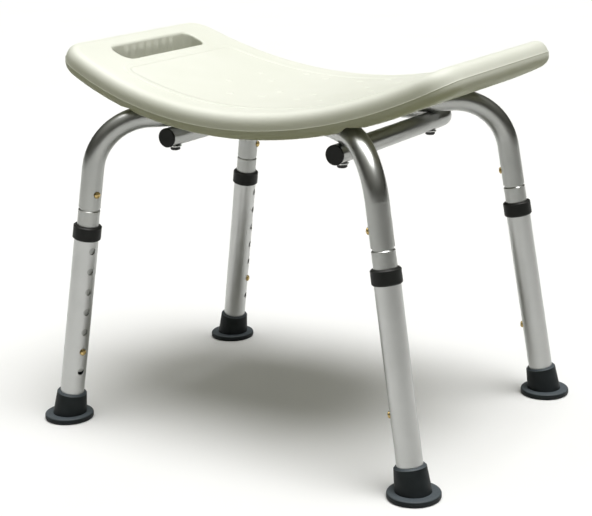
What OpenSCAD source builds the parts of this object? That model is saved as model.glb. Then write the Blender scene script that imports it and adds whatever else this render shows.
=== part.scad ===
// Shower stool: saddle seat on two bent leg tubes, a U brace below the seat, and four
// height-adjustable legs that lock with snap buttons. Millimetres, floor at Z = 0, front at -Y.

/* [Seat] */
// Overall length of the seat, along X
seat_len = 506; // [440:1:620]
// Depth of the seat across its middle
seat_depth_mid = 318; // [290:1:390]
// Depth of the seat at its two ends
seat_depth_end = 271; // [240:1:320]
// Thickness of the seat board
seat_t = 30; // [26:0.5:38]
// Radius of the rounded corners, seen from above
seat_corner_r = 33; // [20:1:45]
// Radius of the saddle curve at mid thickness
saddle_r = 536; // [450:1:900]
// Wall of the blow-moulded seat
seat_wall = 3; // [2:0.1:4]
// Diameter of the vent hole in the seat's underside
vent_d = 6; // [4:0.5:10]
// Height of the seat's mid plane above the leg tubes' centre line
seat_rise = 4.4; // [2:0.1:12]
// Distance from the seat's end to the outer wall of the grip slot
slot_margin = 30; // [24:1:45]
// Width of the grip slot
slot_w = 30; // [24:1:36]
// Length of the grip slot, across the seat
slot_len = 158; // [110:1:180]
// Radius of the grip slot's corners
slot_r = 12; // [6:0.5:14]

/* [Frame] */
// Distance between the foot centres, left to right
base_w = 470; // [400:1:580]
// Distance between the foot centres, front to back
base_d = 352; // [300:1:430]
// Height of the leg tubes' horizontal run
frame_z = 368.4; // [330:1:450]
// Half distance between the bends above the legs, left to right
shoulder_x = 177; // [150:1:215]
// Half distance between the bends above the legs, front to back
shoulder_y = 160.5; // [135:1:195]
// Half length of the straight run under the seat
inner_x = 80; // [66:1:96]
// Half distance between the two straight runs
inner_y = 78; // [65:1:94]
// Outside diameter of the bent tubes
tube_d = 25.4; // [22:0.1:30]
// Wall of the bent tubes
tube_wall = 1.25; // [1:0.05:2]
// Centre-line radius of the bend above each leg
leg_bend_r = 68; // [50:1:72]
// Centre-line radius of the bend under the seat
plan_bend_r = 55; // [40:1:66]
// Distance along the leg from the bend's corner to the tube's open end
frame_drop = 105.4; // [100:0.1:125]

/* [Brace] */
// Half distance between the brace arms
brace_x = 111; // [96:1:128]
// How far the brace runs on past the front screws
brace_overhang = 16.6; // [15:0.2:30]
// Distance from the middle to the centre of the brace's rear run
brace_back = 166; // [152:1:190]
// Outside diameter of the brace tube
brace_d = 22.2; // [19:0.1:28]
// Centre-line radius of the brace bends
brace_bend_r = 38; // [32:1:48]
// Thickness of the brace caps' discs
cap_t = 2.2; // [1.5:0.1:4]

/* [Legs] */
// Wall of the lower leg tubes
lower_wall = 1.52; // [1.3:0.02:2.2]
// Bare neck left between the bent tube's end and the middle tube's shoulder
neck_gap = 2.4; // [0.2:0.1:4]
// Radial clearance of each tube inside the next
slide_gap = 0.08; // [0.04:0.01:0.1]
// Bare length between the leg tube's end and the lower tube's end
bare_gap = 24.3; // [12:0.1:40]
// Spacing of the height holes
hole_pitch = 25.4; // [20:0.1:32]
// Distance from the lower tube's end to the first height hole
first_hole = 26; // [24:0.5:40]
// Length of the middle tube's swaged end
swage_len = 38; // [34:0.5:40]
// Distance from the leg tube's open end to the upper snap button
upper_button_up = 18; // [12:0.5:24]
// Length of the middle tube below the lower snap button
mid_tail = 26; // [20:1:32]
// Outside diameter of the black collar
collar_d = 33; // [31.5:0.1:40]
// Height of the black collar
collar_h = 17; // [12:0.5:24]
// Part of the collar that stands above the lower tube
collar_lip = 2.6; // [1.5:0.1:4]
// Turn of each leg's snap buttons about its leg axis
button_turn = [-32, 32, 1, 32]; // [-90:1:90]

/* [Snap buttons] */
// Diameter of the snap button
button_d = 7.8; // [6:0.1:8.6]
// Radial clearance of the button in its holes
button_gap = 0.3; // [0.2:0.05:0.6]
// Height of the button above the tube that it locks
button_out = 3; // [2:0.1:4]
// Width of the V spring's strip
spring_w = 8; // [5:0.5:9]
// Thickness of the V spring's strip
spring_t = 0.6; // [0.4:0.1:1]
// Length of the V spring below the button
spring_len = 32; // [22:1:40]

/* [Feet] */
// Diameter of the foot's flange
foot_d = 58.5; // [50:0.5:70]
// Thickness of the foot's flange
foot_t = 7; // [5:0.5:10]
// Wall of the foot's socket at its top
socket_wall = 3.5; // [2.5:0.1:5]
// Wall of the foot's socket at the flange
socket_base_wall = 5.9; // [4.5:0.1:8]
// Length of the socket along the leg
socket_len = 35; // [28:0.5:46]
// Depth of the washer's seat along the leg
sole = 6.2; // [6:0.1:9]
// Thickness of the steel washer in the foot
foot_washer_t = 1.2; // [0.8:0.1:2]

/* [Fasteners] */
// Diameter of the seat screws
screw_d = 6; // [5:0.5:8]
// Diameter of the screw heads
screw_head_d = 11.5; // [10:0.5:14]
// Height of the screw heads
screw_head_h = 4; // [3:0.5:6]
// Radial clearance of the screws in the tubes
screw_gap = 0.35; // [0.2:0.05:0.8]
// Outside diameter of the washers under the screw heads
washer_d = 15; // [13:0.5:18]
// Thickness of the washers
washer_t = 1.2; // [0.8:0.1:2]
// Outside diameter of the threaded inserts
insert_d = 9; // [8:0.5:12]
// Length of the threaded inserts
insert_len = 12; // [8:0.5:13]

/* [Hidden] */
$fn = 64;
eps = 0.05;
joint_lap = 0.6;
joint_step = 0.02;

// Tubes, from the outside in
tube_r = tube_d / 2;
tube_ri = tube_r - tube_wall;
swage_r = tube_ri - slide_gap;
swage_ri = swage_r - tube_wall;
lower_ri = tube_r + slide_gap;
lower_r = lower_ri + lower_wall;
brace_r = brace_d / 2;
brace_ri = brace_r - tube_wall;
brace_z = frame_z - tube_r - brace_r - eps;
channel_r = tube_r + 0.5;

// Leg order: front left, front right, rear right, rear left
SIDE = [[-1, -1], [1, -1], [1, 1], [-1, 1]];
function foot_at(i) = [SIDE[i][0] * base_w / 2, SIDE[i][1] * base_d / 2, 0];
function shoulder_at(i) = [SIDE[i][0] * shoulder_x, SIDE[i][1] * shoulder_y, frame_z];
function unit(v) = v / norm(v);

// Stations along the leg axis, measured from the floor point under the foot
leg_len = norm(shoulder_at(0) - foot_at(0));
frame_end = leg_len - frame_drop;
lower_start = sole + foot_washer_t;
lower_top = frame_end - bare_gap;
hole_room = lower_top - first_hole - socket_len - button_d;
hole_count = floor(hole_room / hole_pitch) + 1;
locked_hole = hole_count - 1;
lower_button_s = lower_top - first_hole - (locked_hole - 1) * hole_pitch;
upper_button_s = frame_end + upper_button_up;
mid_start = lower_button_s - mid_tail;
collar_top = lower_top + collar_lip;

// Where the leg tubes cross the brace
cross_y = inner_y + (brace_x - inner_x) * (shoulder_y - inner_y) / (shoulder_x - inner_x);
brace_front = cross_y + brace_overhang;
insert_z = frame_z + channel_r + 0.3;
screw_tip = insert_z + insert_len - 1.5;

// Seat curve
half_len = seat_len / 2;
half_mid = seat_depth_mid / 2;
bulge = (seat_depth_mid - seat_depth_end) / 2;
side_r = (pow(half_len, 2) + pow(bulge, 2)) / (2 * bulge);
corner_x = half_len - seat_corner_r;
corner_turn = asin(corner_x / (side_r - seat_corner_r));
corner_y = side_r - half_mid - sqrt(pow(side_r - seat_corner_r, 2) - pow(corner_x, 2));
seat_z = frame_z + seat_rise;
slot_x = half_len - slot_margin - slot_w / 2;
side_steps = 10;
corner_steps = 5;
edge_steps = 6;
strip_steps = 8;

// Corner and side points of a quarter outline, each as [x, y, outward x, outward y]
quarter = concat(
    [for (k = [0:side_steps]) let(a = corner_turn * k / side_steps)
        [side_r * sin(a), side_r - half_mid - side_r * cos(a), sin(a), -cos(a)]],
    [for (k = [1:corner_steps]) let(a = corner_turn - 90 + (90 - corner_turn) * k / corner_steps)
        [corner_x + seat_corner_r * cos(a), corner_y + seat_corner_r * sin(a), cos(a), sin(a)]]
);
last = len(quarter) - 1;

// Front outline from left to right, then the back outline from right to left
loop = concat(
    [for (k = [last:-1:1]) [-quarter[k][0], quarter[k][1], -quarter[k][2], quarter[k][3]]],
    quarter,
    [for (k = [last:-1:1]) [quarter[k][0], -quarter[k][1], quarter[k][2], -quarter[k][3]]],
    [for (k = [0:last]) [-quarter[k][0], -quarter[k][1], -quarter[k][2], -quarter[k][3]]]
);

// A point of the saddle: plan position, then height above the mid surface along its normal
function on_saddle(x, y, h) = [
    (saddle_r - h) * x / saddle_r,
    y,
    seat_z + saddle_r - (saddle_r - h) * sqrt(1 - pow(x / saddle_r, 2))
];

// The seat's solid with fully rounded edges, shrunk by a wall for its hollow
module saddle_board(shrink) {
    edge_r = seat_t / 2 - shrink;
    count = len(loop);
    half = count / 2;
    pts = [for (j = [0:edge_steps], p = loop)
        let(a = -90 + 180 * j / edge_steps, inset = shrink + edge_r * (1 - cos(a)))
        on_saddle(p[0] - inset * p[2], p[1] - inset * p[3], edge_r * sin(a))];
    rim = [for (j = [0:edge_steps - 1], i = [0:count - 1])
        [j * count + i, j * count + (i + 1) % count, (j + 1) * count + (i + 1) % count, (j + 1) * count + i]];
    under = [for (i = [0:half - 2]) [count - 1 - i, count - 2 - i, i + 1, i]];
    over = [for (i = [0:half - 2]) [i, i + 1, count - 2 - i, count - 1 - i] + edge_steps * count * [1, 1, 1, 1]];
    polyhedron(points = pts, faces = [for (f = concat(rim, under, over)) [f[3], f[2], f[1], f[0]]], convexity = 6);
}

// A round bar between two points, run on a little at each end into the bends it meets
module bar(a, b, r, lead = joint_lap, tail = joint_lap) {
    d = b - a;
    translate(a - unit(d) * lead)
        rotate([0, acos(d[2] / norm(d)), atan2(d[1], d[0])])
            cylinder(r = r, h = norm(d) + lead + tail);
}

// A bend is drawn this much thinner than the bars, so its joint is a clean step
module bend_disc(r) {
    circle(r - joint_step);
}

// Geometry of a bend at corner p between neighbours a and b
function bend_half(a, p, b) = acos(unit(a - p) * unit(b - p)) / 2;
function bend_reach(a, p, b, br) = br / tan(bend_half(a, p, b));
function bend_centre(a, p, b, br) =
    p + unit(unit(a - p) + unit(b - p)) * br / sin(bend_half(a, p, b));
function bend_start(a, p, b, br) = p + unit(a - p) * bend_reach(a, p, b, br);
function bend_end(a, p, b, br) = p + unit(b - p) * bend_reach(a, p, b, br);

// Places a profile, drawn in XY with Y along the bend's axis, around the bend at p
module bend(a, p, b, br) {
    c = bend_centre(a, p, b, br);
    s = unit(bend_start(a, p, b, br) - c);
    e = unit(bend_end(a, p, b, br) - c);
    n = unit(cross(s, e));
    tip = acos(n[2]);
    turn = atan2(n[1], n[0]);
    ex = [cos(tip) * cos(turn), cos(tip) * sin(turn), -sin(tip)];
    ey = [-sin(turn), cos(turn), 0];
    translate(c)
        rotate([0, tip, turn])
            rotate([0, 0, atan2(s * ey, s * ex)])
                rotate_extrude(angle = 180 - 2 * bend_half(a, p, b), $fn = 96)
                    translate([br, 0])
                        children();
}

// A round bar along the whole leg tube of one side: leg, bend, run, bend, and back down
module leg_bar(front, r, over) {
    i = front ? 0 : 3;
    j = front ? 1 : 2;
    y = SIDE[i][1] * inner_y;
    ends = [for (k = [i, j]) shoulder_at(k) + unit(foot_at(k) - shoulder_at(k)) * (frame_drop + over)];
    knee = [[-inner_x, y, frame_z], [inner_x, y, frame_z]];
    top = [shoulder_at(i), shoulder_at(j)];
    for (k = [0, 1]) {
        mate = knee[1 - k];
        bar(ends[k], bend_start(ends[k], top[k], knee[k], leg_bend_r), r, lead = 0);
        bend(ends[k], top[k], knee[k], leg_bend_r) bend_disc(r);
        bar(bend_end(ends[k], top[k], knee[k], leg_bend_r), bend_start(top[k], knee[k], mate, plan_bend_r), r);
        bend(top[k], knee[k], mate, plan_bend_r) bend_disc(r);
    }
    bar(bend_end(top[0], knee[0], knee[1], plan_bend_r), bend_end(top[1], knee[1], knee[0], plan_bend_r), r);
}

// The brace: two arms, two bends and the rear run
module brace_bar(r, over) {
    rear = [[-brace_x, brace_back, brace_z], [brace_x, brace_back, brace_z]];
    tips = [for (s = [-1, 1]) [s * brace_x, -brace_front + cap_t - over, brace_z]];
    for (k = [0, 1]) {
        bar(tips[k], bend_start(tips[k], rear[k], rear[1 - k], brace_bend_r), r, lead = 0);
        bend(tips[k], rear[k], rear[1 - k], brace_bend_r) bend_disc(r);
    }
    bar(bend_end(tips[0], rear[0], rear[1], brace_bend_r), bend_end(tips[1], rear[1], rear[0], brace_bend_r), r);
}

// Children at the four places where the tubes cross
module at_crossings() {
    for (sx = [-1, 1], sy = [-1, 1])
        translate([sx * brace_x, sy * cross_y, 0])
            children();
}

// Children in a leg's own frame: Z up its axis from the floor, X towards the stool
module on_leg(i) {
    d = shoulder_at(i) - foot_at(i);
    translate(foot_at(i))
        rotate([0, acos(d[2] / norm(d)), atan2(d[1], d[0])])
            children();
}

// Plan outline of the strip below a leg tube's level run, w to each side of its centre line
function run_strip(w) =
    let(
        knee = [inner_x, inner_y, 0],
        top = [shoulder_x, shoulder_y, 0],
        c = bend_centre([0, inner_y, 0], knee, top, plan_bend_r),
        turn = 180 - 2 * bend_half([0, inner_y, 0], knee, top),
        out = [sin(turn), -cos(turn), 0],
        angles = [for (k = [0:strip_steps]) -90 + turn * k / strip_steps]
    )
    concat(
        [for (a = angles) c + (plan_bend_r + w) * [cos(a), sin(a), 0]],
        [top + w * out, top - w * out],
        [for (k = [strip_steps:-1:0]) c + (plan_bend_r - w) * [cos(angles[k]), sin(angles[k]), 0]]
    );

// Channels under the seat for both leg tubes, w to each side, with room above for a roof
module channels(w, roof) {
    right = run_strip(w);
    count = len(right);
    for (s = [-1, 1])
        translate([0, 0, frame_z - 2 * seat_t])
            linear_extrude(2 * seat_t + channel_r + roof)
                polygon(concat(
                    [for (p = right) [p[0], s * p[1]]],
                    [for (k = [count - 1:-1:0]) [-right[k][0], s * right[k][1]]]
                ));
}

// The grip slots, with grow added on every side
module grip_slots(grow) {
    w = slot_w + 2 * grow;
    l = slot_len + 2 * grow;
    r = slot_r + grow;
    for (s = [-1, 1])
        translate([s * slot_x, 0, seat_z - 20])
            linear_extrude(150) {
                square([w - 2 * r, l], center = true);
                square([w, l - 2 * r], center = true);
                for (sx = [-1, 1], sy = [-1, 1])
                    translate([sx * (w / 2 - r), sy * (l / 2 - r)])
                        circle(r, $fn = 48);
            }
}

// Hollow board with walled slots, channels and insert bosses, and a vent below
module seat() {
    color([0.93, 0.93, 0.89])
        difference() {
            saddle_board(0);
            difference() {
                saddle_board(seat_wall);
                channels(channel_r + seat_wall, seat_wall);
                grip_slots(seat_wall);
                at_crossings()
                    translate([0, 0, frame_z])
                        cylinder(d = insert_d + 2 * seat_wall, h = 2 * seat_t);
            }
            channels(channel_r, 0);
            grip_slots(0);
            at_crossings()
                translate([0, 0, frame_z])
                    cylinder(d = insert_d, h = insert_z + insert_len - frame_z);
            translate([0, 0, seat_z - seat_t])
                cylinder(d = vent_d, h = seat_t);
        }
}

module seat_inserts() {
    color([0.78, 0.62, 0.32])
        at_crossings()
            difference() {
                translate([0, 0, insert_z])
                    cylinder(d = insert_d, h = insert_len);
                translate([0, 0, insert_z - 1])
                    cylinder(d = screw_d + 2 * eps, h = insert_len);
                for (z = [3, insert_len - 4])
                    translate([0, 0, insert_z + z])
                        rotate_extrude()
                            translate([insert_d / 2 - 0.5, 0])
                                square([1, 1]);
            }
}

module leg_frame(front) {
    ids = front ? [0, 1] : [2, 3];
    difference() {
        leg_bar(front, tube_r, 0);
        leg_bar(front, tube_ri, 1);
        at_crossings()
            translate([0, 0, frame_z - tube_d])
                cylinder(r = screw_d / 2 + screw_gap, h = 2 * tube_d);
        for (i = ids)
            button_hole(i, upper_button_s, tube_r + 4);
    }
}

// A hole through one wall of a leg tube, facing the way that leg's buttons face
module button_hole(i, s, reach) {
    on_leg(i)
        rotate([0, 0, button_turn[i]])
            translate([0, 0, s])
                rotate([0, 90, 0])
                    cylinder(r = button_d / 2 + button_gap, h = reach);
}

module front_leg_frame() {
    color([0.78, 0.78, 0.79])
        leg_frame(true);
}

module rear_leg_frame() {
    color([0.78, 0.78, 0.79])
        leg_frame(false);
}

module under_seat_brace() {
    color([0.78, 0.78, 0.79])
        difference() {
            brace_bar(brace_r, 0);
            brace_bar(brace_ri, 1);
            at_crossings()
                translate([0, 0, brace_z - tube_d])
                    cylinder(r = screw_d / 2 + screw_gap, h = 2 * tube_d);
        }
}

// A plug with a thin round-edged disc that covers the tube's end
module brace_cap(side) {
    round_r = 0.8;
    color([0.09, 0.09, 0.09])
        translate([side * brace_x, -brace_front, brace_z])
            rotate([-90, 0, 0]) {
                translate([0, 0, round_r])
                    cylinder(r = brace_r, h = cap_t - round_r);
                cylinder(r = brace_r - round_r, h = cap_t);
                rotate_extrude()
                    translate([brace_r - round_r, round_r])
                        circle(round_r, $fn = 32);
                difference() {
                    translate([0, 0, 1])
                        cylinder(r = brace_ri - eps, h = cap_t + 7);
                    translate([0, 0, cap_t + 0.5])
                        cylinder(r = brace_ri - 2, h = 10);
                }
            }
}

module brace_cap_left() {
    brace_cap(-1);
}

module brace_cap_right() {
    brace_cap(1);
}

// Pan head below the brace, shank up through both tubes into the insert
module seat_screws() {
    seat_z_under = brace_z - brace_r - washer_t;
    color([0.13, 0.13, 0.13])
        at_crossings()
            difference() {
                union() {
                    translate([0, 0, seat_z_under - screw_head_h + 1])
                        cylinder(d = screw_head_d, h = screw_head_h - 1);
                    translate([0, 0, seat_z_under - screw_head_h])
                        cylinder(d1 = screw_head_d - 2.4, d2 = screw_head_d, h = 1);
                    translate([0, 0, seat_z_under - 0.5])
                        cylinder(d = screw_d, h = screw_tip - seat_z_under + 0.5);
                }
                for (t = [0, 90])
                    rotate([0, 0, t])
                        translate([-3, -0.6, seat_z_under - screw_head_h - 1])
                            cube([6, 1.2, 3]);
            }
}

module screw_washers() {
    color([0.55, 0.55, 0.56])
        at_crossings()
            translate([0, 0, brace_z - brace_r - washer_t])
                difference() {
                    cylinder(d = washer_d, h = washer_t);
                    translate([0, 0, -1])
                        cylinder(r = screw_d / 2 + screw_gap, h = washer_t + 2);
                }
}

// Middle tube: plain below, swaged above its shoulder to enter the leg tube
module middle_tube(i) {
    rest = frame_end - neck_gap;
    tip = frame_end + swage_len;
    color([0.76, 0.76, 0.77])
        difference() {
            on_leg(i)
                rotate_extrude()
                    polygon([
                        [tube_ri, mid_start], [tube_r, mid_start], [tube_r, rest - 1.2],
                        [swage_r + 0.3, rest], [swage_r, rest], [swage_r, tip - 1],
                        [swage_r - 0.6, tip], [swage_ri, tip], [swage_ri, rest - 3],
                        [tube_ri, rest - 7]
                    ]);
            button_hole(i, lower_button_s, tube_r + 4);
            button_hole(i, upper_button_s, tube_r + 4);
        }
}

module lower_tube(i) {
    color([0.76, 0.76, 0.77])
        difference() {
            on_leg(i)
                difference() {
                    translate([0, 0, lower_start])
                        cylinder(r = lower_r, h = lower_top - lower_start);
                    translate([0, 0, lower_start - 1])
                        cylinder(r = lower_ri, h = lower_top - lower_start + 2);
                }
            for (k = [0:hole_count - 1])
                button_hole(i, lower_top - first_hole - k * hole_pitch, lower_r + 4);
        }
}

// Collar on the lower tube's end, with a lip that guides the middle tube
module collar(i) {
    chamfer = 1.4;
    color([0.12, 0.12, 0.12])
        on_leg(i)
            translate([0, 0, collar_top - collar_h])
                difference() {
                    union() {
                        translate([0, 0, chamfer])
                            cylinder(d = collar_d, h = collar_h - 2 * chamfer);
                        cylinder(d1 = collar_d - 2 * chamfer, d2 = collar_d, h = chamfer);
                        translate([0, 0, collar_h - chamfer])
                            cylinder(d1 = collar_d, d2 = collar_d - 2 * chamfer, h = chamfer);
                    }
                    translate([0, 0, -1])
                        cylinder(r = lower_ri, h = collar_h + 2);
                    translate([0, 0, -1])
                        cylinder(r = lower_r, h = collar_h - collar_lip + 1);
                }
}

// Rubber foot: flat flange on the floor, tapered socket along the leg
module foot(i) {
    low = 3.4;
    edge = 2.2;
    lip = 1.6;
    color([0.13, 0.16, 0.18])
        difference() {
            union() {
                translate(foot_at(i)) {
                    cylinder(r = foot_d / 2 - edge, h = foot_t);
                    translate([0, 0, edge])
                        cylinder(r = foot_d / 2, h = foot_t - 2 * edge);
                    for (z = [edge, foot_t - edge])
                        translate([0, 0, z])
                            rotate_extrude()
                                translate([foot_d / 2 - edge, 0])
                                    circle(edge, $fn = 32);
                }
                on_leg(i) {
                    translate([0, 0, low])
                        cylinder(
                            r1 = lower_r + socket_base_wall,
                            r2 = lower_r + socket_wall,
                            h = socket_len - low - lip
                        );
                    translate([0, 0, socket_len - lip])
                        cylinder(r1 = lower_r + socket_wall, r2 = lower_r + socket_wall - lip, h = lip);
                }
            }
            on_leg(i)
                translate([0, 0, sole])
                    cylinder(r = lower_r, h = socket_len);
            translate(foot_at(i))
                for (r = [14, 20])
                    translate([0, 0, -1])
                        rotate_extrude()
                            translate([r, 0])
                                square([1.6, 1.8]);
        }
}

module foot_washer(i) {
    color([0.6, 0.6, 0.61])
        on_leg(i)
            translate([0, 0, sole])
                difference() {
                    cylinder(r = lower_r - 0.2, h = foot_washer_t);
                    translate([0, 0, -1])
                        cylinder(r = 4, h = foot_washer_t + 2);
                }
}

// Outer face of a V spring's arm in a tube of inside radius ri
function arm_face(ri) = sqrt(pow(ri - 0.4, 2) - pow(spring_w / 2, 2));

// Domed button from the spring's arm out through the locked tube
module button(i, s, ri, ro) {
    base = arm_face(ri);
    dome_r = 5.5;
    rise = dome_r - sqrt(pow(dome_r, 2) - pow(button_d / 2, 2));
    color([0.72, 0.58, 0.33])
        on_leg(i)
            rotate([0, 0, button_turn[i]])
                translate([0, 0, s])
                    rotate([0, 90, 0])
                        intersection() {
                            translate([0, 0, base])
                                cylinder(d = button_d, h = ro + button_out - base);
                            union() {
                                translate([0, 0, ro + button_out - dome_r])
                                    sphere(dome_r);
                                cylinder(d = button_d + 2, h = ro + button_out - rise);
                            }
                        }
}

// V of spring strip, its point down the leg and its arms against the tube's wall
module v_spring(i, s, ri) {
    a = arm_face(ri);
    top = spring_len + 6;
    mid = spring_len - 8;
    color([0.55, 0.56, 0.58])
        on_leg(i)
            rotate([0, 0, button_turn[i]])
                translate([0, spring_w / 2, s - spring_len])
                    rotate([90, 0, 0])
                        linear_extrude(spring_w)
                            polygon([
                                [-a, top], [-a, mid], [-1.2, 0], [1.2, 0], [a, mid], [a, top],
                                [a - spring_t, top], [a - spring_t, mid], [0.7, spring_t],
                                [-0.7, spring_t], [spring_t - a, mid], [spring_t - a, top]
                            ]);
}

module upper_button(i) {
    button(i, upper_button_s, swage_ri, tube_r);
}

module lower_button(i) {
    button(i, lower_button_s, tube_ri, lower_r);
}

module upper_spring(i) {
    v_spring(i, upper_button_s, swage_ri);
}

module lower_spring(i) {
    v_spring(i, lower_button_s, tube_ri);
}

seat();
seat_inserts();
front_leg_frame();
rear_leg_frame();
under_seat_brace();
brace_cap_left();
brace_cap_right();
seat_screws();
screw_washers();

LEG = ["front_left", "front_right", "rear_right", "rear_left"];
for (i = [0:3]) {
    middle_tube(i);
    lower_tube(i);
    collar(i);
    foot(i);
    foot_washer(i);
    upper_button(i);
    lower_button(i);
    upper_spring(i);
    lower_spring(i);
}
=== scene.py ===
# %% [markdown]
# # A shower stool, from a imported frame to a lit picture
#
# The stool is a moulded seat on four aluminium legs. Its exact parts come in as a fixed frame, and this
# lesson gives each of them a finish, replaces the seat by a finer mesh, and sets up the floor, the lights
# and the camera. Everything is in metres, with Z up, the floor at Z = 0 and the front of the stool
# towards -Y.

# %% Load the frame
import math

import bmesh
import bpy
import numpy as np
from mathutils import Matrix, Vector


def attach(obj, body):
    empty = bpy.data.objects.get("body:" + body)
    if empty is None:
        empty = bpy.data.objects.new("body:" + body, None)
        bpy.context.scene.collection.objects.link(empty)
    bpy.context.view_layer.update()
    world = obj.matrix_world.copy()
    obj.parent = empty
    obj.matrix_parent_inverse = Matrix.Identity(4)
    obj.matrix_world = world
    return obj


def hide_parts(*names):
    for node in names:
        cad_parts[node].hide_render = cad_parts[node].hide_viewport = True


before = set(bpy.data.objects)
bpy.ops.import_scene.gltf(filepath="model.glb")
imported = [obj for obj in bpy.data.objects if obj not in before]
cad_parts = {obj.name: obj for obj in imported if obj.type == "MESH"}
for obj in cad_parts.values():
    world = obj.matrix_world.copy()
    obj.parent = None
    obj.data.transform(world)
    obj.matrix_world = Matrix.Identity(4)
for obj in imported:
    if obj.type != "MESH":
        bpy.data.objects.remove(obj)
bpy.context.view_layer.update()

# %% [markdown]
# ## Small helpers for materials
#
# Every finish here is a Principled shader fed by noise. The noise reads Object coordinates, which on
# these pieces are metres in the stool's own frame, so a pattern keeps its size on every piece. A value
# that is the same all over the surface is set straight on the shader's socket, which keeps the material
# easy to export.

# %% Helpers: a finish, a node, a noise and a bump
def new_finish(name, **sockets):
    """A material with one Principled shader whose sockets have the given constants."""
    finish = bpy.data.materials.new(name)
    finish.use_nodes = True
    shader = finish.node_tree.nodes["Principled BSDF"]
    for socket, value in sockets.items():
        shader.inputs[socket.replace("_", " ")].default_value = value
    return finish, finish.node_tree, shader


def noise(tree, scale, detail=2.0, stretch=None):
    """Noise on Object coordinates: scale is in waves per metre, stretch multiplies it along each axis."""
    place = tree.nodes.new("ShaderNodeTexCoord").outputs["Object"]
    if stretch:
        mapping = tree.nodes.new("ShaderNodeMapping")
        mapping.inputs["Scale"].default_value = stretch
        tree.links.new(place, mapping.inputs["Vector"])
        place = mapping.outputs["Vector"]
    texture = tree.nodes.new("ShaderNodeTexNoise")
    texture.inputs["Scale"].default_value = scale
    texture.inputs["Detail"].default_value = detail
    tree.links.new(place, texture.inputs["Vector"])
    return texture.outputs["Fac"]


def between(tree, factor, low, high, at=(0.3, 0.7)):
    """A ramp from the value or colour low to high as the factor goes from at[0] to at[1]."""
    ramp = tree.nodes.new("ShaderNodeValToRGB")
    for stop, spot, value in zip(ramp.color_ramp.elements, at, (low, high)):
        stop.position = spot
        stop.color = (*value, 1.0) if isinstance(value, tuple) else (value, value, value, 1.0)
    tree.links.new(factor, ramp.inputs["Fac"])
    return ramp.outputs["Color"]


def add_bump(tree, shader, height, depth, strength=1.0):
    """Tilts the shading as if the surface rose by depth metres times the height signal."""
    bump = tree.nodes.new("ShaderNodeBump")
    bump.inputs["Distance"].default_value = depth
    bump.inputs["Strength"].default_value = strength
    tree.links.new(height, bump.inputs["Height"])
    tree.links.new(bump.outputs["Normal"], shader.inputs["Normal"])


print("helpers for finishes are ready")

# %% [markdown]
# ## The finishes
#
# The seat is white blow-moulded polyethylene: a little warm, slightly glossy, with the fine orange-peel
# skin that the mould leaves. Broad, faint clouds of a second white stop it from looking like one flat
# colour.

# %% Seat plastic
seat_white, tree, shader = new_finish("seat_plastic", Roughness=0.50, IOR=1.5, Specular_IOR_Level=0.35)
clouds = between(tree, noise(tree, 9.0, 3.0), (0.825, 0.838, 0.750), (0.862, 0.872, 0.795))
tree.links.new(clouds, shader.inputs["Base Color"])
add_bump(tree, shader, noise(tree, 520.0, 3.0), 0.00012, 0.35)
print("made", seat_white.name)

# %% [markdown]
# The tubes are anodised aluminium: satin, because the bath that grows the oxide layer also etches the
# metal. Very fine noise breaks up the highlight, and slow noise makes some stretches a little duller than
# others. The lower tubes are drawn separately and look a shade paler than the bent ones.

# %% Anodised aluminium
def anodised(name, dull, bright, low_rough, high_rough):
    """Satin metal whose colour and roughness drift slowly, with a fine etched grain."""
    finish, tree, shader = new_finish(name, Metallic=1.0)
    drift = noise(tree, 26.0, 4.0)
    tree.links.new(between(tree, drift, dull, bright), shader.inputs["Base Color"])
    grain = noise(tree, 1100.0, 3.0)
    tree.links.new(between(tree, grain, low_rough, high_rough), shader.inputs["Roughness"])
    add_bump(tree, shader, noise(tree, 2400.0, 2.0), 0.00002, 0.08)
    return finish


bent_aluminium = anodised("bent_aluminium", (0.37, 0.375, 0.362), (0.41, 0.415, 0.40), 0.30, 0.34)
leg_aluminium = anodised("leg_aluminium", (0.49, 0.495, 0.485), (0.53, 0.535, 0.525), 0.31, 0.35)
print("made", bent_aluminium.name, "and", leg_aluminium.name)

# %% [markdown]
# The collars and end caps are black moulded plastic with a fine spark-eroded skin. The feet are rubber:
# matt and a little blue. Both skins carry painted light from above: their colour is mixed towards a paler
# grey, grey-blue on the feet, by how far the surface faces up, broken by noise, so upward faces look lit.
# Both skins get two sizes of grain.

# %% Black plastic and rubber
def facing_up(tree, at):
    """0 where the surface is upright or looks down, 1 where it looks up: a ramp on the normal's z."""
    normal = tree.nodes.new("ShaderNodeSeparateXYZ")
    tree.links.new(tree.nodes.new("ShaderNodeTexCoord").outputs["Normal"], normal.inputs[0])
    return between(tree, normal.outputs["Z"], 0.0, 1.0, at=at)


def mixed(tree, factor, low, high):
    """Colour low where the factor is 0 and high where it is 1."""
    mix = tree.nodes.new("ShaderNodeMix")
    mix.data_type = "RGBA"
    tree.links.new(factor, mix.inputs["Factor"])
    tree.links.new(low, mix.inputs["A"])
    tree.links.new(high, mix.inputs["B"])
    return mix.outputs["Result"]


def black_skin(name, dark, light, top_light_colour, rough, depth):
    """Dark moulded skin: cloudy colour, painted top light on upward faces, cloudy roughness and a fine
    pebbled bump.
    """
    finish, tree, shader = new_finish(name, IOR=1.49, Specular_IOR_Level=0.32)
    skin = between(tree, noise(tree, 60.0, 4.0), dark, light)
    # Painted top light: a paler colour, broken by noise, that the upward faces get.
    painted_top_light = between(tree, noise(tree, 900.0, 4.0), tuple(0.75 * c for c in top_light_colour), top_light_colour)
    colour = mixed(tree, facing_up(tree, (0.25, 0.85)), skin, painted_top_light)
    tree.links.new(colour, shader.inputs["Base Color"])
    tree.links.new(between(tree, noise(tree, 240.0, 3.0), rough, rough + 0.14), shader.inputs["Roughness"])
    add_bump(tree, shader, noise(tree, 1500.0, 2.0), depth, 0.5)
    return finish


# The third colour is the painted top light on the upward faces of the collars and caps.
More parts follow.
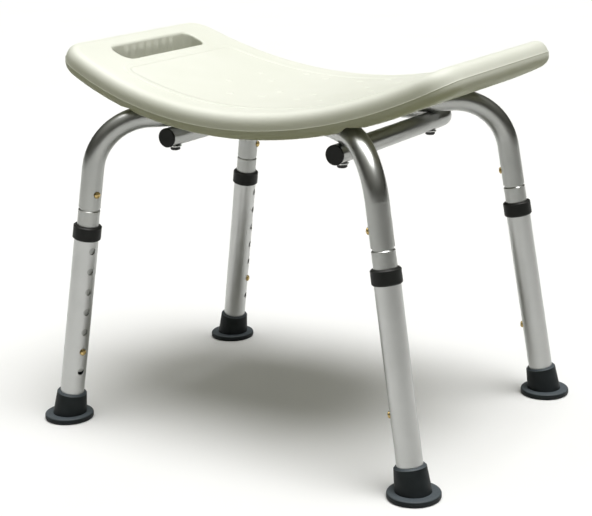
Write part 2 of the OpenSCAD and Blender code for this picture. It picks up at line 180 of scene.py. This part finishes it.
black_plastic = black_skin(
    "black_plastic", (0.009, 0.010, 0.009), (0.016, 0.017, 0.016), (0.030, 0.030, 0.028), 0.38, 0.00006
)
# The third colour is the painted top light, grey-blue, on the upward faces of the feet.
foot_rubber = black_skin(
    "foot_rubber", (0.009, 0.013, 0.015), (0.020, 0.026, 0.029), (0.115, 0.135, 0.150), 0.46, 0.00010
)
print("made", black_plastic.name, "and", foot_rubber.name)

# %% [markdown]
# The small metal parts: brass snap buttons and inserts, spring steel behind the buttons, zinc-plated
# washers, and screws with a black oxide finish. Their noise is finer, because the parts are only a few
# millimetres across.

# %% Small metal parts
def small_metal(name, dull, bright, low_rough, high_rough):
    """Turned or pressed metal with tiny stains and scratches."""
    finish, tree, shader = new_finish(name, Metallic=1.0)
    tree.links.new(between(tree, noise(tree, 420.0, 4.0), dull, bright), shader.inputs["Base Color"])
    scratches = noise(tree, 1300.0, 3.0)
    tree.links.new(between(tree, scratches, low_rough, high_rough), shader.inputs["Roughness"])
    add_bump(tree, shader, noise(tree, 3200.0, 2.0), 0.00002, 0.3)
    return finish


brass = small_metal("brass", (0.42, 0.31, 0.13), (0.60, 0.46, 0.22), 0.22, 0.36)
spring_steel = small_metal("spring_steel", (0.30, 0.32, 0.36), (0.42, 0.43, 0.45), 0.28, 0.42)
zinc_plate = small_metal("zinc_plate", (0.52, 0.53, 0.52), (0.64, 0.64, 0.62), 0.30, 0.45)
black_oxide = small_metal("black_oxide", (0.035, 0.035, 0.036), (0.070, 0.068, 0.066), 0.34, 0.50)
print("made", brass.name, spring_steel.name, zinc_plate.name, black_oxide.name)

# %% [markdown]
# ## Dressing the frame's own parts
#
# The tubes, collars, feet, buttons and screws already have their real shape, so they keep their meshes
# and only get a better finish. A table from the start of a part's name to its finish does all 45 at once.

# %% Assign the finishes
FINISH_OF = {
    "seat_inserts": brass,
    "seat_screws": black_oxide,
    "seat": seat_white,
    "front_leg_frame": bent_aluminium,
    "rear_leg_frame": bent_aluminium,
    "under_seat_brace": bent_aluminium,
    "brace_cap": black_plastic,
    "screw_washers": zinc_plate,
    "middle_tube": bent_aluminium,
    "lower_tube": leg_aluminium,
    "collar": black_plastic,
    "foot_washer": zinc_plate,
    "foot": foot_rubber,
    "upper_button": brass,
    "lower_button": brass,
    "upper_spring": spring_steel,
    "lower_spring": spring_steel,
}
for node_name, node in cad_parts.items():
    start = max((s for s in FINISH_OF if node_name.startswith(s)), key=len)
    node.data.materials.clear()
    node.data.materials.append(FINISH_OF[start])
print("dressed", len(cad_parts), "parts with", len(set(FINISH_OF.values())), "finishes")

# %% [markdown]
# ## The seat
#
# The real seat is one hollow moulding: a board bent to a shallow saddle, with fully rounded edges, a grip
# slot at each end with finger ribs on its outer wall, a fine raised line round the sitting area, low
# bumps against slipping, and two channels below that take the leg tubes. The frame's seat is exact but
# plain, so a finer surface stands for it. The board could be pushed and pulled from a subdivided box, but
# its shape is simple in numbers: every surface is a patch of points on a cylinder of radius SADDLE - h,
# where h is the height above the middle of the board. Patches share their border points, and merging
# those closes the skin.

# %% Sizes of the seat
SADDLE = 0.536
MIDDLE_Z = 0.3728
EDGE_R = 0.015
HALF_LENGTH = 0.253
HALF_DEPTH = 0.159
CORNER_R = 0.033
SIDE_BULGE = 0.0235
SIDE_R = (HALF_LENGTH**2 + SIDE_BULGE**2) / (2 * SIDE_BULGE)
SLOT_X = 0.208
SLOT_HALF = np.array([0.015, 0.079])
SLOT_R = 0.012
LIP = 0.0025
STEP = 0.0022
print("side arc radius %.4f m" % SIDE_R)


def saddle_z(x, h):
    """Height at x of the cylinder of radius SADDLE - h whose axis is SADDLE above the board's middle."""
    return MIDDLE_Z + SADDLE - np.sqrt((SADDLE - h) ** 2 - x**2)


def to_plan(x, h):
    """Where a point of the flat board goes when the board is bent: x times (SADDLE - h) / SADDLE."""
    return x * (SADDLE - h) / SADDLE


# %% [markdown]
# The outline is two long arcs and two straight ends, joined by round corners. Each of its points has an
# outward direction, so the same list serves for the rounded edge, the parting line and the borders of the
# flat faces.

# %% Outline of a board with bulging sides
def outline(half_length, half_depth, corner_r, step):
    """Points and outward directions, anticlockwise from the left end of the front side.
    Side: an arc of radius SIDE_R. Corner: an arc of corner_r tangent to it. End: straight."""
    cx = half_length - corner_r
    turn = math.asin(cx / (SIDE_R - corner_r))
    cy = SIDE_R - half_depth - (SIDE_R - corner_r) * math.cos(turn)
    sides = 2 * round(cx / step)
    a = np.linspace(-turn, turn, sides + 1)
    side_y = SIDE_R - half_depth - SIDE_R * np.cos(a)
    side = np.stack([SIDE_R * np.sin(a), side_y, np.sin(a), -np.cos(a)], 1)
    b = np.linspace(turn - math.pi / 2, 0, 11)[1:]
    corner = np.stack([cx + corner_r * np.cos(b), cy + corner_r * np.sin(b), np.cos(b), np.sin(b)], 1)
    t = np.linspace(cy, -cy, 2 * round(-cy / step) + 1)[1:-1]
    end = np.stack([np.full_like(t, half_length), t, np.ones_like(t), np.zeros_like(t)], 1)
    back_corner = (corner * [1, -1, 1, -1])[::-1]
    half = np.concatenate([side, corner, end, back_corner])
    return np.concatenate([half, -half]), sides


loop, side_count = outline(HALF_LENGTH, HALF_DEPTH, CORNER_R, STEP)
print("outline points:", len(loop), "of which on each side:", side_count + 1)

# %% [markdown]
# A patch is a grid of points. Its faces join each point to its neighbours, and one flag turns the whole
# patch over, which is how the left end can be the mirror image of the right end with its faces still
# outwards.

# %% Gather patches
patches = []


def add_patch(points, flip=False, wrap=False):
    """Stores a rows x columns x 3 grid with its quads; wrap joins the last column to the first."""
    rows, columns = points.shape[:2]
    index = np.arange(rows * columns).reshape(rows, columns)
    if wrap:
        index = np.concatenate([index, index[:, :1]], 1)
    quads = np.stack([index[:-1, :-1], index[:-1, 1:], index[1:, 1:], index[1:, :-1]], -1).reshape(-1, 4)
    patches.append((points.reshape(-1, 3), quads[:, ::-1] if flip else quads))


def lift(xy, h):
    """Plan points to points on the saddle surface at height h."""
    return np.concatenate([xy, saddle_z(xy[..., :1], h)], -1)


print("ready to gather patches")

# %% [markdown]
# The leg tubes run along X under the seat and turn outwards near its ends. The underside rises over them
# in two flat-roofed channels with soft shoulders. The distance to a tube's centre line says how far up a
# point goes.

# %% Channels for the leg tubes
INNER = np.array([0.080, 0.078])
SHOULDER = np.array([0.177, 0.1605])
TUBE_Z, ROOF_RISE = 0.3684, 0.0132
ROOF_Z = TUBE_Z + ROOF_RISE
CHANNEL = (0.0136, 0.0180)
BEND_EASE, BEND_SHIFT = 0.0075, 0.18


def tube_distance(x, y):
    """Distance in plan to the nearer tube: to a straight run for |x| < INNER x, then to the slanting run.
    The two meet in a smooth minimum that stands for the bend between them."""
    x, y = np.abs(x), np.abs(y)
    along = (SHOULDER - INNER) / np.linalg.norm(SHOULDER - INNER)
    level = y - INNER[1]
    slant = (y - INNER[1]) * along[0] - (x - INNER[0]) * along[1]
    smooth_minimum = -BEND_EASE * np.log(np.exp(-level / BEND_EASE) + np.exp(-slant / BEND_EASE))
    return smooth_minimum + BEND_EASE * BEND_SHIFT


def hollow_below(points):
    """Raises points below the channel's roof: fully over the tube, not at all past the shoulder."""
    away = np.abs(tube_distance(points[..., 0], points[..., 1]))
    t = np.clip((CHANNEL[1] - away) / (CHANNEL[1] - CHANNEL[0]), 0, 1)
    rise = np.clip(ROOF_Z - points[..., 2], 0, None) * t * t * (3 - 2 * t)
    raised = points.copy()
    raised[..., 2] += rise
    return raised


print("channel roof at %.4f m" % ROOF_Z)

# %% [markdown]
# The rounded edge is a profile carried round the outline. A plain half circle looks too soft: the real
# edge is a little squarer, so the sine and cosine are raised to a power below 1, which fills out its
# shoulders. The mould's two halves meet a little below the middle and leave a fine ridge, so the profile
# bulges slightly at that angle.

# %% Rounded edge with its parting line
PARTING = math.radians(-9)
RIDGE = 0.00035
SQUARENESS = 0.80
RIDGE_WIDTH = math.radians(2.1)
even = np.radians(np.linspace(-90, 90, 25))
near = PARTING + RIDGE_WIDTH * np.linspace(-1.6, 1.6, 7)
angles = np.sort(np.concatenate([even[np.abs(even - PARTING) > 1.8 * RIDGE_WIDTH], near]))
radius = EDGE_R + RIDGE * np.exp(-(((angles - PARTING) / RIDGE_WIDTH * 1.3) ** 2))
outward = radius * np.clip(np.cos(angles), 0, 1) ** SQUARENESS
upward = radius * np.sign(angles) * np.abs(np.sin(angles)) ** SQUARENESS
flat = loop[None, :, :2] - (EDGE_R - outward)[:, None, None] * loop[None, :, 2:]
height = np.repeat(upward[:, None], len(loop), 1)
rim = np.stack([to_plan(flat[..., 0], height), flat[..., 1], np.zeros_like(height)], -1)
rim[..., 2] = saddle_z(rim[..., 0], height)
lower = (angles < math.radians(-20))[:, None, None]
rim = np.where(lower, hollow_below(rim), rim)
add_patch(rim, wrap=True)
print("edge grid:", rim.shape[:2])

# %% [markdown]
# The flat faces are a plain grid in the middle and, at each end, a ring of quads between the slot and the
# border. The ring's inner points are found on rays from the slot's centre, so its quads stay close to
# square. The wall nearest the seat's end has soft ribs for the fingers.

# %% Slot outline and finger ribs
def slot_core(xy):
    """The nearest point of the slot's core rectangle, which its corner arcs are drawn around."""
    core = SLOT_HALF - SLOT_R
    return np.clip(xy, -core, core)


def slot_hit(xy, grow):
    """Where the ray from the slot's centre to xy crosses the outline grown by grow. Found by halving."""
    low, high = np.zeros(len(xy)), np.ones(len(xy))
    for _ in range(40):
        middle = (low + high) / 2
        p = xy * middle[:, None]
        inside = np.linalg.norm(p - slot_core(p), axis=1) < SLOT_R + grow
        low, high = np.where(inside, middle, low), np.where(inside, high, middle)
    return xy * low[:, None]


def slot_offset(xy, grow):
    """The same outline points, moved square to the outline until they are SLOT_R + grow from the core."""
    away = xy - slot_core(xy)
    away = away / np.linalg.norm(away, axis=1)[:, None]
    return slot_core(xy) + away * (SLOT_R + grow), away


RIB_PITCH = 0.0150
RIB_DEPTH = 0.0016
RIB_REACH = 0.052


def finger_ribs(xy, away):
    """Inward push of the wall: cosine ribs along y, only on the outer wall and only near its middle."""
    wave = 0.5 + 0.5 * np.cos(2 * np.pi * xy[:, 1] / RIB_PITCH)
    window = np.clip((RIB_REACH - np.abs(xy[:, 1])) / 0.006, 0, 1)
    return RIB_DEPTH * wave * window * np.clip(away[:, 0] * 4 - 3, 0, 1)


print("slot %.0f x %.0f mm" % (2000 * SLOT_HALF[0], 2000 * SLOT_HALF[1]))

# %% Faces above and below
RING_ROWS, FACE_ROWS = 9, 130
MIDDLE_REACH = 0.180
SLOT_CENTRE = np.array([SLOT_X, 0])


def face_side(h, middle_reach, rows):
    """The face at height h, in plan: the middle grid and the border that the right end's ring meets."""
    border = loop[:, :2] - EDGE_R * loop[:, 2:]
    keep = np.nonzero(np.abs(border[: side_count + 1, 0]) <= middle_reach)[0]
    border = np.stack([to_plan(border[:, 0], h), border[:, 1]], 1)
    front = border[: side_count + 1]
    first, last = keep[0], keep[-1]
    v = np.linspace(-1, 1, rows + 1)[:, None]
    middle = front[keep]
    grid = np.stack(np.broadcast_arrays(middle[None, :, 0], -v * middle[None, :, 1]), -1)
    half = len(loop) // 2
    mate = half + side_count - last
    right = np.concatenate([border[last : mate + 1], grid[::-1][1:-1, -1]])
    return grid, right - SLOT_CENTRE


def add_face(h, inner=None):
    """Adds a whole face. Returns the slot's border points seen from its centre, or takes given ones."""
    up = h > 0
    grid, right = face_side(h, MIDDLE_REACH, FACE_ROWS)
    if inner is None:
        inner = slot_hit(right, LIP)
    ring = SLOT_CENTRE + inner + (right - inner) * np.linspace(0, 1, RING_ROWS)[:, None, None]
    shape = (lambda p: p) if up else hollow_below
    add_patch(shape(lift(grid, h)), flip=not up)
    for side in (1, -1):
        add_patch(shape(lift(ring * [side, 1], h)), flip=up == (side > 0), wrap=True)
    return inner


slot_border = add_face(EDGE_R)
add_face(-EDGE_R, slot_border)
print("slot border points:", len(slot_border))

# %% [markdown]
# Both faces meet the slot in the same points, so one wall joins them: a quarter-round lip, straight down,
# and a quarter-round lip again. The ribs fade in below the upper lip and out above the lower one.

# %% Slot walls
turn = np.linspace(0, math.pi / 2, 6)
down = np.linspace(0, 1, 15)[1:-1]
share = np.concatenate([0 * turn, down, 1 + 0 * turn])
grow = LIP * (1 - np.concatenate([np.sin(turn), 1 + 0 * down, np.sin(turn[::-1])]))
drop = LIP * (1 - np.concatenate([np.cos(turn), 0 * down, np.cos(turn[::-1])]))
fade = np.clip(4 * np.minimum(share, 1 - share), 0, 1)
rows = []
for part, g, d, f in zip(share, grow, drop, fade):
    xy, away = slot_offset(slot_border, g)
    xy = xy - away * (f * finger_ribs(xy, away))[:, None]
    x = xy[:, 0] + SLOT_X
    z_above, z_below = saddle_z(x, EDGE_R) - d, saddle_z(x, -EDGE_R) + d
    rows.append(np.stack([x, xy[:, 1], z_above + (z_below - z_above) * part], 1))
wall = np.stack(rows)
for side in (1, -1):
    add_patch(wall * [side, 1, 1], flip=side < 0, wrap=True)
print("wall grid:", wall.shape[:2])

# %% [markdown]
# Low domes keep the bather from sliding. Each is a turned shape: level in the middle, then falling along
# a smooth step, so its near side catches less light and shows as a small crescent. The line round the
# sitting area is a small step carried along a path: steep towards the edge of the seat, so that it reads
# as a thin line, and running out gently inwards. Both have a root that dips a little below the skin and
# closes them.

# %% Grip domes
DOMES_MM = [[96, -13], [60, -64], [95, 54], [65, 31], [23, -17], [24, -53], [57, 100], [24, 91]]
DOMES = np.array(DOMES_MM) / 1000
DOME_R = 0.0054
DOME_H = 0.0008
DOME_LEVEL = 0.45
ROOT, SINK = 0.0008, 0.00004
reach = np.concatenate([[0], np.linspace(DOME_LEVEL, 1, 8), [1, 0]])[:, None]
fall = np.clip((reach - DOME_LEVEL) / (1 - DOME_LEVEL), 0, 1)
lift_off = DOME_H * (1 - fall * fall * (3 - 2 * fall)) - SINK
lift_off[-2:] = -ROOT
spin = np.linspace(0, 2 * np.pi, 25)[:-1]
for x, y in np.concatenate([DOMES, DOMES * [-1, 1]]):
    px = x + DOME_R * reach * np.cos(spin)
    py = y + DOME_R * reach * np.sin(spin)
    add_patch(np.stack([px, py, saddle_z(px, EDGE_R) + lift_off], -1), flip=True, wrap=True)
print("domes:", 2 * len(DOMES))

# %% Line round the sitting area
LINE_LENGTH, LINE_INSET, LINE_CORNER = 0.184, 0.035, 0.022
LINE_H = 0.0007
# The profile's points in tenths of a millimetre, from the inside outwards and back below the skin
LINE_OUT = np.array([-100, -60, -30, 0, 3, 6, 9, 9, -100, -100])[:, None] / 10000
line, _ = outline(LINE_LENGTH, HALF_DEPTH - LINE_INSET, LINE_CORNER, 0.004)
ridge = LINE_H * np.array([0, 0.3, 0.7, 1, 0.75, 0.25, 0, 0, 0, 0])[:, None] - SINK
ridge[7:9] = -ROOT
lx = line[None, :, 0] + LINE_OUT * line[None, :, 2]
ly = line[None, :, 1] + LINE_OUT * line[None, :, 3]
lz = saddle_z(lx, EDGE_R) + ridge
add_patch(np.stack([lx, ly, lz], -1), flip=True, wrap=True)
print("line points:", line.shape[0])

# %% [markdown]
# Now all the patches become one mesh. Points on shared borders lie in the same place, so merging them
# sews the skin shut. The count of open edges proves it: an edge with a single face would be a hole.

# %% Merge the patches into one mesh
def make_piece(name, patches, finish, body, merge=0.00002):
    """One mesh from all patches, with border points merged, smooth shading and the finish."""
    start = np.cumsum([0] + [len(p) for p, _ in patches])
    points = np.concatenate([p for p, _ in patches])
    quads = np.concatenate([q + s for (_, q), s in zip(patches, start)])
    mesh = bpy.data.meshes.new(name)
    mesh.from_pydata(points.tolist(), [], quads.tolist())
    work = bmesh.new()
    work.from_mesh(mesh)
    bmesh.ops.remove_doubles(work, verts=work.verts, dist=merge)
    work.to_mesh(mesh)
    open_edges = sum(1 for e in work.edges if len(e.link_faces) == 1)
    work.free()
    mesh.polygons.foreach_set("use_smooth", np.ones(len(mesh.polygons), bool))
    mesh.materials.append(finish)
    piece = bpy.data.objects.new(name, mesh)
    bpy.context.scene.collection.objects.link(piece)
    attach(piece, body)
    print(name, "faces:", len(mesh.polygons), "open edges:", open_edges)
    return piece


moulded_seat = make_piece("moulded_seat", patches, seat_white, "frame")
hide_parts("seat")

# %% [markdown]
# ## Floor, light and camera
#
# The floor is one very large pale plane. White as it is, it would throw so much light upwards that the
# tubes and the seat's edge lose their shape. So, as with a grey card in a studio, a second and greyer
# floor just below it takes its place for bounced light only. Each floor's ray visibility says which rays
# meet it.

# %% Floor
FLOOR_HALF = 40.0


def add_floor(name, drop, low, high, tint):
    """A large square, drop metres below the floor level, whose grey drifts slowly between low and high."""
    paint, tree, shader = new_finish(name, Roughness=0.9, Specular_IOR_Level=0.1)
    ends = [tuple(value * t for t in tint) for value in (low, high)]
    tree.links.new(between(tree, noise(tree, 3.0, 2.0), *ends), shader.inputs["Base Color"])
    corner = FLOOR_HALF * np.array([[-1, -1, 0], [1, -1, 0], [1, 1, 0], [-1, 1, 0]], float) - [0, 0, drop]
    mesh = bpy.data.meshes.new(name)
    mesh.from_pydata(corner.tolist(), [], [(0, 1, 2, 3)])
    mesh.materials.append(paint)
    plane = bpy.data.objects.new(name, mesh)
    bpy.context.scene.collection.objects.link(plane)
    return plane


pale_floor = add_floor("pale_floor", 0.0, 0.88, 0.90, (1.0, 1.0, 1.0))
pale_floor.visible_diffuse = pale_floor.visible_shadow = False
bounce_floor = add_floor("bounce_floor", 0.002, 0.17, 0.19, (1.0, 1.0, 0.60))
bounce_floor.visible_camera = bounce_floor.visible_glossy = False
print("floors %.0f m across" % (2 * FLOOR_HALF))

# %% [markdown]
# A wide sun almost straight above works as an endless soft box: the floor stays evenly bright however far
# it goes, and the stool's shadow lies softly below it. A small tilt sends the shadow to the left, away
# from the camera's side.

# %% Sun
sun = bpy.data.lights.new("overhead", "SUN")
sun.energy = 2.74
sun.angle = math.radians(36)
sun_object = bpy.data.objects.new("overhead", sun)
sun_object.rotation_euler = (math.radians(3), math.radians(12), 0)
bpy.context.scene.collection.objects.link(sun_object)
print("sun is %.0f degrees wide" % math.degrees(sun.angle))

# %% [markdown]
# A card is an area light that diffuse rays do not see. The tubes take their long bright streaks from it,
# while the seat, which is nearly matt, and the floor hardly change.

# %% Card above the stool
def add_card(name, place, size, power):
    """A soft box that shows only in reflections. Size is in metres and power in watts."""
    card = bpy.data.lights.new(name, "AREA")
    card.shape = "RECTANGLE"
    card.size, card.size_y = size
    card.energy = power
    holder = bpy.data.objects.new(name, card)
    holder.location = place
    holder.rotation_euler = (Vector((0, 0, 0.3)) - Vector(place)).to_track_quat("-Z", "Y").to_euler()
    holder.visible_camera = holder.visible_diffuse = False
    bpy.context.scene.collection.objects.link(holder)


add_card("card_above", (-0.30, 0.0, 1.9), (1.5, 1.2), 20.0)
print("one card, seen only in reflections")

# %% [markdown]
# The world fills in the rest. It is dark near the horizon and paler overhead, so upright faces come out
# darker than level ones and every rounding shows.

# %% World
world = bpy.data.worlds.new("studio")
bpy.context.scene.world = world
world.use_nodes = True
sky = world.node_tree
height_of_ray = sky.nodes.new("ShaderNodeSeparateXYZ")
sky.links.new(sky.nodes.new("ShaderNodeTexCoord").outputs["Generated"], height_of_ray.inputs[0])
glow = between(sky, height_of_ray.outputs["Z"], (0.030, 0.030, 0.020), (0.47, 0.47, 0.43), at=(0.24, 0.82))
sky.links.new(glow, sky.nodes["Background"].inputs["Color"])
print("world:", world.name)

# %% [markdown]
# The camera stands a little above the seat and to the right of the front, close to 1.8 m away. Its turn
# comes from three angles: round the stool, above the floor, and a slight roll.

# %% Camera
TARGET = np.array([0, 0, 0.22])
AZIMUTH, ELEVATION, ROLL = np.radians([32.19, 15.60, -1.25])
DISTANCE, SHIFT_RIGHT, SHIFT_UP = 1.753, -0.0127, -0.0319
FOCAL_MM = 89.4527
back = np.array([
    math.sin(AZIMUTH) * math.cos(ELEVATION), -math.cos(AZIMUTH) * math.cos(ELEVATION), math.sin(ELEVATION)
])
right = np.array([math.cos(AZIMUTH), math.sin(AZIMUTH), 0])
up = np.cross(back, right)
x_axis = right * math.cos(ROLL) + up * math.sin(ROLL)
y_axis = up * math.cos(ROLL) - right * math.sin(ROLL)
pose = np.eye(4)
pose[:3, 0], pose[:3, 1], pose[:3, 2] = x_axis, y_axis, back
pose[:3, 3] = TARGET + back * DISTANCE + x_axis * SHIFT_RIGHT + y_axis * SHIFT_UP
lens = bpy.data.cameras.new("camera")
lens.sensor_width = 36.0
lens.lens = FOCAL_MM
camera = bpy.data.objects.new("camera", lens)
camera.matrix_world = pose.T.tolist()
bpy.context.scene.collection.objects.link(camera)
bpy.context.scene.camera = camera
print("camera at", np.round(pose[:3, 3], 3))

# %% [markdown]
# The plain view transform keeps the pale floor white, and a gamma a little under one deepens the shadows.

# %% Picture contrast
look = bpy.context.scene.view_settings
look.view_transform = "Standard"
look.look = "None"
look.exposure = 0.0
look.gamma = 0.92
print("view:", look.view_transform, look.gamma)
